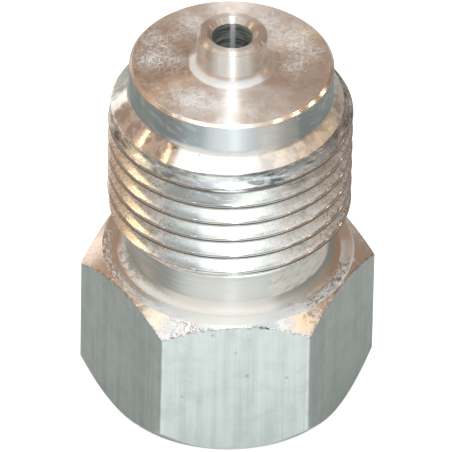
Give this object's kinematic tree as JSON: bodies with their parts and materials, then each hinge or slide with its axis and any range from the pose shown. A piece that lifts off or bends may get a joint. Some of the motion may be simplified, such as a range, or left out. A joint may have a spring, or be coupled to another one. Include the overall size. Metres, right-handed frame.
{
  "type": "adapter fitting",
  "caption": "Turned hexagon adapter fitting with a male pipe thread, nose and centring spigot above and a tapped gauge port below.",
  "frame": {"origin": "centre of the hexagon's lower face", "axes": "+Z along the fitting's axis, from the gauge port to the spigot; +X through a corner of the hexagon, +Y through a flat"},
  "size_m": [0.0254, 0.022, 0.0373],
  "materials": {
    "plated_brass": "bright nickel plate over turned and drawn metal"
  },
  "bodies": {
    "root": {"adapter_body": "plated_brass"}
  },
  "joints": []
}
